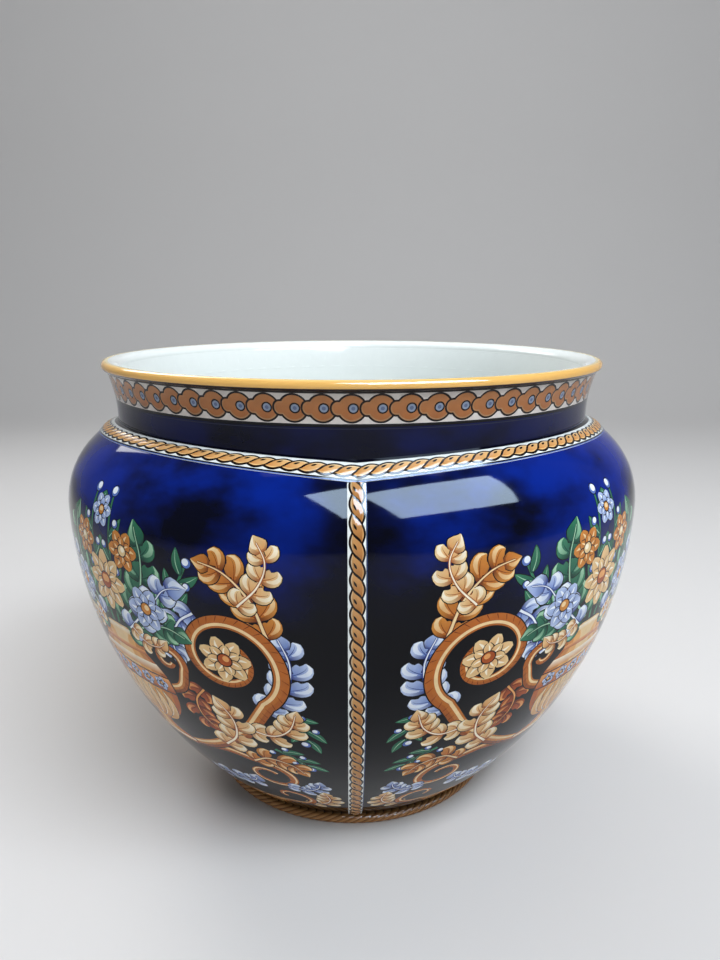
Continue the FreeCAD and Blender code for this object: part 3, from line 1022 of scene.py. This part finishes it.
# A thin painted highlight line runs round the neck just under the collar
highlight_high_z = collar_z - 1.0
highlight_low_z = collar_z - 1.3
neck_bend_z = [waist_z + 2.0, waist_z + 4.0]
neck_outer_z = [neck_low_z, waist_z, *neck_bend_z, highlight_low_z, highlight_high_z, line_z, collar_z]
neck_inner_z = [collar_z, *neck_bend_z[::-1], waist_z, neck_low_z]
neck_section = [(float(flared(max(z, waist_z), 0.0)), z) for z in neck_outer_z]
neck_section += [(float(flared(max(z, waist_z), wall)), z) for z in neck_inner_z]
# Painted shade: most of the neck's cobalt is covered by near-black navy
NECK_SHADE = (*linear(NAVY_SHADE), 0.8)
neck_tones = [NECK_SHADE, NECK_SHADE, NECK_SHADE, NECK_SHADE, painted(NECK_HIGHLIGHT), NECK_SHADE, painted(INK)]
neck = lathe("neck", neck_section, neck_tones, cobalt)
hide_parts("neck_ring")

lip_outer = float(flared(rim_z, 0.0))
lip_inner = float(flared(rim_z, wall))
lip_half = (crest_z - rim_z) / 2.0
lip_section = []
for turn in np.linspace(-90.0, 90.0, 15):
    lip_section.append((lip_outer + rim_roll_out * math.cos(math.radians(turn)),
                        rim_z + lip_half + lip_half * math.sin(math.radians(turn))))
for turn in np.radians(np.linspace(10.0, 90.0, 11)):
    lip_section.append((lip_outer - (lip_outer - lip_inner) * math.sin(turn),
                        rim_z + (crest_z - rim_z) * math.cos(turn)))
# Paler ochre towards the crest of the lip: painted highlight
# The lip's underside is painted dark brown: partly the ink line under the ochre, partly painted shade under
# the roll
lip_tones = [painted(BROWN_INK)] * 5 + [BARE] * 7 + [painted(LIP_HIGHLIGHT)] * 2 + [painted(LIP_CREST_HIGHLIGHT)]
lip = lathe("lip", lip_section, lip_tones, lip_glaze)
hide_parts("rim_roll")


def foot_rope():
    """Ring under the body: its outer half is a rope, with strands that lie at a slant."""
    segments = foot_strands * strand_steps
    half = foot_height / 2.0
    turns = np.radians(np.linspace(-90.0, 90.0, 17))
    phase = (np.arange(segments)[:, None] / strand_steps - turns * strand_lean) % 1.0
    crease = np.abs(np.sin(math.pi * phase)) ** 0.55
    reach = half - crease_depth * (1.0 - crease) * np.cos(turns) ** 0.5
    around = np.ones((segments, 1))
    inner = around * (foot_radius - foot_width)
    radius = np.hstack([foot_radius - half + reach * np.cos(turns), inner, inner])
    z = np.hstack([half + reach * np.sin(turns), around * foot_height, around * 0.0])
    dark = np.clip(1.0 - crease * 1.5, 0.0, 1.0)[..., None]
    lit = phase[..., None]
    # The darker foot rope paint is painted shade under the body
    body = linear(FOOT_ROPE_SHADED["body"]) * (1 - lit) + linear(FOOT_ROPE_SHADED["far"]) * lit
    tone = body * (1 - dark) + linear(BROWN_INK) * dark
    tone = np.concatenate([tone, np.tile(linear(FOOT_UNDER), (segments, 2, 1))], axis=1)
    paint = np.concatenate([tone, np.ones((*radius.shape, 1))], axis=-1)
    kinds = [0] * radius.shape[1]
    return ring_piece("foot_rope", radius, z, paint, [rope_glaze], kinds, 50.0, rows=8, blended=True)


foot = foot_rope()
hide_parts("foot_ring")

# The floor of the pot keeps its CAD shape, with the white glaze
floor_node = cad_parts["floor_disc"]
floor_node.data.materials.clear()
floor_node.data.materials.append(white_glaze)


# Stage, light and camera

def paper():
    """Matt pale paper with a faint mottle."""
    material, tree, shader = new_material("paper", 0.0)
    shader.inputs["Roughness"].default_value = 0.85
    mottle = node(tree, "TexNoise", {"Scale": 3.0}).outputs["Fac"]
    tint = two_tones(tree, mottle, PAPER)
    tree.links.new(tint.outputs["Color"], shader.inputs["Base Color"])
    return material


def backdrop():
    """Floor that bends up into a wall behind the pot."""
    half, front, back, high, bend = 3.0, -3.0, 1.6, 3.0, 0.6
    points = [(front, 0.0)]
    for turn in np.linspace(0.0, math.pi / 2.0, 13):
        points.append((back - bend + bend * math.sin(turn), bend - bend * math.cos(turn)))
    points.append((back, high))
    verts = [(x, y, z) for y, z in points for x in (-half, half)]
    faces = [[2 * i, 2 * i + 1, 2 * i + 3, 2 * i + 2] for i in range(len(points) - 1)]
    mesh = bpy.data.meshes.new("backdrop")
    mesh.from_pydata(verts, [], faces)
    mesh.polygons.foreach_set("use_smooth", [True] * len(faces))
    mesh.materials.append(paper())
    obj = bpy.data.objects.new("backdrop", mesh)
    bpy.context.scene.collection.objects.link(obj)


backdrop()


pot_middle = (0.0, 0.0, 0.14)


def soft_light(name, place, size, power, tone=(255, 255, 255), lights=True, shows=True, spread=180.0):
    """Area lamp, aimed at the pot, that lights what is matt, shows in what is glossy, or both."""
    data = bpy.data.lights.new(name, "AREA")
    data.shape = "RECTANGLE"
    data.size, data.size_y = size
    data.energy = power
    data.spread = math.radians(spread)
    data.color = tuple(linear(tone))
    obj = bpy.data.objects.new(name, data)
    obj.location = place
    obj.rotation_euler = (Vector(pot_middle) - Vector(place)).to_track_quat("-Z", "Y").to_euler()
    obj.visible_camera = False
    obj.visible_diffuse = lights
    obj.visible_glossy = shows
    bpy.context.scene.collection.objects.link(obj)


soft_light("window", (0.5, -0.8, 1.4), (1.3, 0.42), power=28.0, tone=(238, 246, 255), shows=False)
soft_light("window_glint", (0.52, -0.74, 1.3), (1.3, 0.85), power=105.0, tone=(205, 230, 255), lights=False)
soft_light("sky", (0.0, 0.4, 1.9), (1.2, 1.2), power=5.0)
soft_light("fill", (-0.8, 1.1, 1.2), (0.8, 0.8), power=2.2, spread=70.0)

world = bpy.data.worlds.new("room")
world.use_nodes = True
background = world.node_tree.nodes["Background"]
background.inputs["Color"].default_value = (0.5, 0.51, 0.53, 1.0)
background.inputs["Strength"].default_value = 0.45
bpy.context.scene.world = world
bpy.context.scene.view_settings.view_transform = "Standard"

# Camera, from a fit of the rim, neck, body and foot in the photograph
image_height = 960.0
focal_pixels = 721.0
sensor = 36.0
camera_place = (-0.004, -0.354, 0.2346)
camera_pitch = 14.21       # degrees down
camera_turn = -0.0217      # radians, to the right
camera_data = bpy.data.cameras.new("camera")
camera_data.sensor_width = sensor
camera_data.lens = focal_pixels / image_height * sensor
camera_data.clip_start = 0.01
camera = bpy.data.objects.new("camera", camera_data)
camera.location = camera_place
camera.rotation_euler = Euler((math.radians(90.0 - camera_pitch), 0.0, camera_turn))
bpy.context.scene.collection.objects.link(camera)
bpy.context.scene.camera = camera
